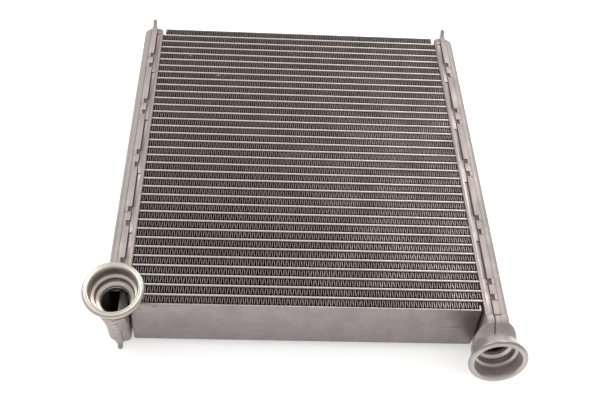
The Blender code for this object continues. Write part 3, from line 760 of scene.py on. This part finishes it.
# Turned ports: light, dark and face colour, where the face colour paints in how light
# falls on each flange, darker on the right port as painted shade and lighter on the left as
# painted light; then radius and depth behind the flange's face, in millimetres, from the
# bore outwards
PORT_TURNS = 128
PORT_COLOURS_AND_FACE_LIGHT = {"left": (grey(0.56, 0.51, 0.455), grey(0.44, 0.39, 0.34),
                         grey(0.58, 0.53, 0.465)),
                "right": (grey(0.60, 0.555, 0.53), grey(0.46, 0.42, 0.395),
                          grey(0.42, 0.39, 0.37))}
PORT_ROUGHNESS = 0.30
PORT_EDGE_ANGLE = 28.0
SOCKET = [(6.5, 11.2), (6.5, 10.7), (6.6, 10.4), (6.9, 10.2), (7.8, 10.0), (8.2, 9.7),
          (8.35, 9.2), (8.4, 6.9), (8.5, 6.6), (8.8, 6.45), (9.3, 6.4), (9.65, 6.25),
          (9.75, 5.9), (9.78, 1.9), (9.95, 1.1), (10.2, 0.5), (10.4, 0.2), (10.6, 0.05),
          (10.8, 0.0), (11.05, 0.03), (11.25, 0.16), (11.45, 0.2), (11.7, 0.12),
          (12.0, 0.12), (12.4, 0.28), (12.75, 0.58), (12.93, 0.95), (12.95, 1.15),
          (12.9, 1.38), (12.65, 1.58), (11.35, 1.6), (11.05, 1.7), (10.95, 2.0),
          (10.9, 6.4), (10.6, 7.0), (9.75, 8.1), (9.3, 8.5), (8.5, 11.2)]
SPIGOT_END = 12.3
SPIGOT_BORE = {"left": 6.05, "right": 6.15}


def spigot(name):
    """Outline of the short pipe that leads from a socket into its tank."""
    bore = SPIGOT_BORE[name]
    return [(6.44, 11.1), (6.44, SPIGOT_END), (bore, SPIGOT_END), (bore, 11.4), (6.3, 11.1)]


def turned(bm, centre, axis, profile):
    """A ring of metal turned round an axis, from radius and depth pairs."""
    across = axis.orthogonal().normalized()
    other = axis.cross(across)
    loops = []
    for i in range(PORT_TURNS):
        angle = 2 * math.pi * i / PORT_TURNS
        out = across * math.cos(angle) + other * math.sin(angle)
        loops.append([centre + out * (r * MM) - axis * (d * MM) for r, d in profile])
    loft(bm, loops, ring=True)
    bmesh.ops.recalc_face_normals(bm, faces=bm.faces)


def add_port(name):
    """One turned port in place of the plainer one."""
    centre, axis = port_frame(name)
    light, dark, face = PORT_COLOURS_AND_FACE_LIGHT[name]
    metal = turned_metal("turned_" + name, centre, axis, light, dark, face, PORT_ROUGHNESS)
    bm = bmesh.new()
    turned(bm, centre, axis, SOCKET)
    turned(bm, centre, axis, spigot(name))
    piece = mesh_object("turned_port_" + name, bm, metal, PORT_EDGE_ANGLE)
    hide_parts("port_" + name)


add_port("left")
add_port("right")
refined("port_seat_left", tank_metal, SEAT_EDGE, "left")


# Clinches: distances from the far end of the core, in millimetres
CLINCH_FIRST = 30.0
CLINCH_SPACING = 37.65
CLINCH_LAST = {"left": 173.4, "right": 180.6}
CLINCH_HALF_PAIR = 4.3
NOTCH_HALF = 1.7
NOTCH_DEPTH = 0.85 * MM
LIP_PAST_BAND = 0.12 * MM
LIP_THICKNESS = 1.2 * MM
LIP_EDGE = 0.3 * MM
PIT_HALF = 1.35 * MM
PIT_EDGE = 0.1 * MM


def clinch_levels(name):
    """Y of each notch along one tank."""
    places = [CLINCH_FIRST + CLINCH_SPACING * i for i in range(4)] + [CLINCH_LAST[name]]
    levels = []
    for place in places:
        for offset in (-CLINCH_HALF_PAIR, CLINCH_HALF_PAIR):
            levels.append(CORE_Y + CORE_HALF - (place - offset) * MM)
    return levels


def rounded_block(bm, low, high, radius):
    """A block with all its edges rounded."""
    part = bmesh.new()
    bmesh.ops.create_cube(part, size=1.0)
    size = [high[i] - low[i] for i in range(3)]
    middle = [(high[i] + low[i]) / 2 for i in range(3)]
    bmesh.ops.scale(part, vec=size, verts=part.verts)
    bmesh.ops.translate(part, vec=middle, verts=part.verts)
    bmesh.ops.bevel(part, geom=part.edges[:], offset=radius, segments=3, affect='EDGES',
                    profile=0.5)
    add_to(bm, part)


def clinch_lips(name, side):
    """The bent lips that close each notch of the seam band, above and below."""
    half = (NOTCH_HALF + 0.15) * MM
    bm = bmesh.new()
    for y in clinch_levels(name):
        for way in (1, -1):
            rise = random.uniform(0.05, 0.25) * MM
            inner = BAND_INNER + random.uniform(1.4, 1.7) * MM
            xs = sorted((side * inner, side * (BAND_OUTER + LIP_PAST_BAND)))
            top = way * (BAND_HALF_DEPTH + rise)
            zs = sorted((Z_MIDDLE + top, Z_MIDDLE + top - way * LIP_THICKNESS))
            rounded_block(bm, (xs[0], y - half, zs[0]), (xs[1], y + half, zs[1]), LIP_EDGE)
    mesh_object("clinch_lips_" + name, bm, lip_metal, BLOCK_ANGLE)


def clinch_pit_shades(name, side):
    """Dark blocks on the floors of the notches, at the inner side of the band, as painted shade
    in the notches.
    """
    bm = bmesh.new()
    for y in clinch_levels(name):
        for way in (1, -1):
            xs = sorted((side * (BAND_INNER - 0.5 * MM), side * (BAND_INNER + 1.5 * MM)))
            level = Z_MIDDLE + way * (BAND_HALF_DEPTH - NOTCH_DEPTH)
            zs = sorted((level - way * 0.3 * MM, level + way * 0.12 * MM))
            rounded_block(bm, (xs[0], y - PIT_HALF, zs[0]), (xs[1], y + PIT_HALF, zs[1]),
                          PIT_EDGE)
    mesh_object("clinch_pit_shades_" + name, bm, shade_and_dirt_metal, BLOCK_ANGLE)


clinch_lips("left", -1)
clinch_lips("right", 1)
clinch_pit_shades("left", -1)
clinch_pit_shades("right", 1)


# Braze drops, dirt and bent fins: pixel across and down in the picture, and radius in
# millimetres
BRAZE_SPOTS = ((109.5, 321.0, 0.9), (112.0, 322.5, 1.1), (115.5, 321.5, 0.8),
               (114.5, 325.5, 1.2), (116.5, 328.5, 1.0), (118.0, 331.5, 0.7),
               (111.5, 327.0, 0.6))
BRAZE_SHRINK = 0.72
BRAZE_FLATNESS = 0.38
CLINCH_DIRT = ((487.5, 284.5, 0.75), (488.6, 287.5, 0.5), (490.3, 295.5, 0.8),
               (490.9, 299.5, 0.6), (491.5, 303.5, 0.5))
DIRT_FLATNESS = 0.12
PLATE_MARKS = ((152.5, 305.9, 0.35), (154.6, 306.3, 0.4), (156.4, 306.2, 0.3),
               (139.5, 309.0, 0.3), (141.5, 330.5, 0.35))
MARK_FLATNESS = 0.1
BENT_FINS = ((216.0, 76.0, 0.5), (218.5, 75.3, 0.6), (221.5, 76.0, 0.5),
             (224.5, 75.6, 0.55), (190.5, 55.5, 0.45), (317.0, 131.0, 0.45))
BENT_FLATNESS = 0.35


def at_pixel(x, y):
    """Where the camera sees the object through a pixel of the picture."""
    bpy.context.view_layer.update()
    graph = bpy.context.evaluated_depsgraph_get()
    start = scene.camera.matrix_world.translation
    reach = PICTURE_WIDTH * LENS / SENSOR_WIDTH
    across = CAMERA_RIGHT * (x - PICTURE_WIDTH / 2)
    ray = across + CAMERA_UP * (PICTURE_HEIGHT / 2 - y) + CAMERA_FORWARD * reach
    hit, place, normal, _, _, _ = scene.ray_cast(graph, start, ray.normalized())
    if not hit:
        raise ValueError("nothing is seen at %s, %s" % (x, y))
    return place, normal


def flat_blob(bm, place, normal, size, flatness):
    """A flat, slightly uneven drop that lies on a surface."""
    part = bmesh.new()
    bmesh.ops.create_icosphere(part, subdivisions=3, radius=1.0)
    turn = normal.to_track_quat("Z", "Y").to_matrix().to_4x4()
    for vert in part.verts:
        swell = 1.0 + 0.18 * math.sin(vert.co.x * 5 + size * 9e4) * math.cos(vert.co.y * 4)
        vert.co = Vector((vert.co.x * swell, vert.co.y * swell, vert.co.z * flatness)) * size
    part.transform(Matrix.Translation(place) @ turn)
    add_to(bm, part)


def marks(name, spots, shrink, flatness, material):
    """Small flat drops or spots seen through given pixels of the picture."""
    bm = bmesh.new()
    for x, y, size in spots:
        place, normal = at_pixel(x, y)
        flat_blob(bm, place, normal, size * shrink * MM, flatness)
    mesh_object(name, bm, material, EDGE_ANGLE)


# Crease in the near side plate: the pixels of its ends, its height and its half width
CREASE_START = (438.0, 328.3)
CREASE_END = (462.0, 328.0)
CREASE_RISE = 0.34 * MM
CREASE_HALF = 0.6 * MM
CREASE_STEPS = 24


def plate_crease():
    """A shallow pressed rib near the right end of the near side plate."""
    bm = bmesh.new()
    start = at_pixel(*CREASE_START)[0]
    end = at_pixel(*CREASE_END)[0]
    middle = (start + end) / 2
    length = (end - start).length / 2
    rings = []
    for i in range(CREASE_STEPS + 1):
        t = -1 + 2 * i / CREASE_STEPS
        half = max(0.02, math.sqrt(max(0.0, 1 - t * t)))
        ring = []
        for k in range(STRIP_STEPS + 1):
            angle = math.pi * k / STRIP_STEPS
            out = Vector((t * length, -math.sin(angle) * CREASE_RISE * half,
                          math.cos(angle) * CREASE_HALF * half))
            ring.append(bm.verts.new(middle + out))
        rings.append(ring)
    skin(bm, rings)
    bmesh.ops.recalc_face_normals(bm, faces=bm.faces)
    mesh_object("plate_crease", bm, plate_metal, EDGE_ANGLE)


# Ridge over the left tank's cone: where it starts, and its levels
RIDGE_FROM_BAND = 1.15 * MM
RIDGE_HALF = 1.5 * MM
RIDGE_TOP = 12.2
RIDGE_STEP = 1.3
RIDGE_LEVELS = 20
RIDGE_SINK = 0.35
RIDGE_RISE = 0.72


def end_ridge():
    """The seam's rounded ridge down the near end of the left tank, over the cone."""
    bpy.context.view_layer.update()
    middle_x = -(BAND_INNER + RIDGE_FROM_BAND)
    bm = bmesh.new()
    rings = []
    for i in range(RIDGE_LEVELS):
        z = Z_MIDDLE + (RIDGE_TOP - i * RIDGE_STEP) * MM
        hit, place, _, _ = left_cover.ray_cast(Vector((middle_x, -0.3, z)), Vector((0, 1, 0)))
        if not hit:
            continue
        swell = min(1.0, 0.35 + i * 0.22)
        ring = []
        for k in range(STRIP_STEPS + 1):
            angle = math.pi * k / STRIP_STEPS
            x = middle_x + math.cos(angle) * RIDGE_HALF
            y = place.y + (RIDGE_SINK - math.sin(angle) * RIDGE_RISE) * MM * swell
            ring.append(bm.verts.new((x, y, z)))
        rings.append(ring)
    skin(bm, rings)
    bmesh.ops.recalc_face_normals(bm, faces=bm.faces)
    mesh_object("end_ridge_left", bm, lip_metal, EDGE_ANGLE)


# Seam over the right collar: X of the edges of the ridge and of the dark line beside it, a strip
# of painted shade where the seam's groove runs
RIDGE_START = 80.35 * MM
RIDGE_END = 82.85 * MM
RIDGE_HEIGHT = 0.55 * MM
SEAM_START = 79.8 * MM
SEAM_END = 80.45 * MM
SEAM_HEIGHT = 0.09 * MM


def collar_top(row, x):
    """Height of the collar's upper side at one section, at one X."""
    middle, wide, high, power = collar_section(row)
    part = min(0.999, abs(x - middle.x) / wide)
    return middle.y, middle.z + high * (1 - part ** power) ** (1 / power)


def right_collar():
    """The rounded shoulder that swells from the right tank's end to its port."""
    bm = bmesh.new()
    loops = []
    for row in collar_rows():
        loops.append(collar_loop(row))
    loft(bm, loops, False, False)
    bmesh.ops.recalc_face_normals(bm, faces=bm.faces)
    mesh_object("collar_right", bm, lit_collar_metal, COLLAR_ANGLE)


def collar_strip(name, low_x, high_x, height, material):
    """A strip that runs down over the shoulder to the port."""
    bm = bmesh.new()
    rings = []
    middle = (low_x + high_x) / 2
    half = (high_x - low_x) / 2
    for row in collar_rows()[:-2 * COLLAR_STEPS]:
        ring = []
        for k in range(STRIP_STEPS + 1):
            angle = math.pi * k / STRIP_STEPS
            x = middle + math.cos(angle) * half
            y, z = collar_top(row, x)
            lift = height * min(1.0, 1.7 * math.sin(angle)) - 0.05 * MM
            ring.append(bm.verts.new((x, y - lift * 0.6, z + lift * 0.8)))
        rings.append(ring)
    skin(bm, rings)
    bmesh.ops.recalc_face_normals(bm, faces=bm.faces)
    mesh_object(name, bm, material, EDGE_ANGLE)


right_collar()
collar_strip("collar_ridge", RIDGE_START, RIDGE_END, RIDGE_HEIGHT, lit_collar_metal)
# A thin dark strip of painted shade in the seam's groove beside the ridge
collar_strip("collar_seam_shade", SEAM_START, SEAM_END, SEAM_HEIGHT, shade_and_dirt_metal)
end_ridge()
marks("braze_drops", BRAZE_SPOTS, BRAZE_SHRINK, BRAZE_FLATNESS, braze_metal)
plate_crease()
marks("clinch_dirt", CLINCH_DIRT, 1.0, DIRT_FLATNESS, shade_and_dirt_metal)
marks("plate_marks", PLATE_MARKS, 1.0, MARK_FLATNESS, shade_and_dirt_metal)
marks("bent_fins", BENT_FINS, 1.0, BENT_FLATNESS, lip_metal)


# Floor and light
FLOOR_HALF = 3.0
FLOOR_GLOW = 0.42
SKY_LOW = 0.62
SKY_HIGH = 1.0
SKY_START = 0.05
SKY_END = 0.75
WARM = (1.0, 0.97, 0.93)
SOFT_WARM = (1.0, 0.98, 0.95)
MIDDLE = (0.0, 0.0, 0.0)


def add_floor():
    """A plain pale floor that glows a little, so that it comes out white."""
    bm = bmesh.new()
    corners = [(x * FLOOR_HALF, y * FLOOR_HALF) for x, y in ((-1, -1), (1, -1), (1, 1), (-1, 1))]
    bm.faces.new([bm.verts.new((x, y, 0.0)) for x, y in corners])
    mesh = bpy.data.meshes.new("floor")
    bm.to_mesh(mesh)
    bm.free()
    n = Nodes("floor_white")
    n.feed(n.shader.inputs["Emission Color"], grey(1.0))
    n.feed(n.shader.inputs["Emission Strength"], FLOOR_GLOW)
    mesh.materials.append(n.finish(grey(0.96), 0.0, 0.9))
    floor = bpy.data.objects.new("floor", mesh)
    scene.collection.objects.link(floor)


def add_area(name, place, size, power, colour):
    """A round soft light that faces the middle of the part."""
    data = bpy.data.lights.new(name, "AREA")
    data.shape = "DISK"
    data.size = size
    data.energy = power
    data.color = colour
    light = bpy.data.objects.new(name, data)
    light.location = place
    look = (Vector(MIDDLE) - Vector(place)).to_track_quat("-Z", "Y")
    light.rotation_euler = look.to_euler()
    scene.collection.objects.link(light)


def add_world():
    """A studio that is bright overhead, dimmer round the horizon and white to the camera."""
    world = bpy.data.worlds.new("studio")
    world.use_nodes = True
    tree = world.node_tree
    background = tree.nodes["Background"]
    place = tree.nodes.new("ShaderNodeTexCoord")
    split = tree.nodes.new("ShaderNodeSeparateXYZ")
    ramp = tree.nodes.new("ShaderNodeMapRange")
    tree.links.new(place.outputs["Generated"], split.inputs[0])
    tree.links.new(split.outputs["Z"], ramp.inputs["Value"])
    for key, value in (("From Min", SKY_START), ("From Max", SKY_END), ("To Min", SKY_LOW),
                       ("To Max", SKY_HIGH)):
        ramp.inputs[key].default_value = value
    background.inputs["Color"].default_value = grey(1.0)
    seen = tree.nodes.new("ShaderNodeLightPath")
    white = tree.nodes.new("ShaderNodeMath")
    white.operation = "MAXIMUM"
    tree.links.new(ramp.outputs[0], white.inputs[0])
    tree.links.new(seen.outputs["Is Camera Ray"], white.inputs[1])
    tree.links.new(white.outputs[0], background.inputs["Strength"])
    scene.world = world


add_floor()
add_world()
add_area("key", (0.35, 0.55, 0.8), 0.35, 4.5, WARM)
add_area("side", (-0.55, 0.35, 0.8), 0.3, 4.0, SOFT_WARM)

scene.view_settings.view_transform = "Standard"
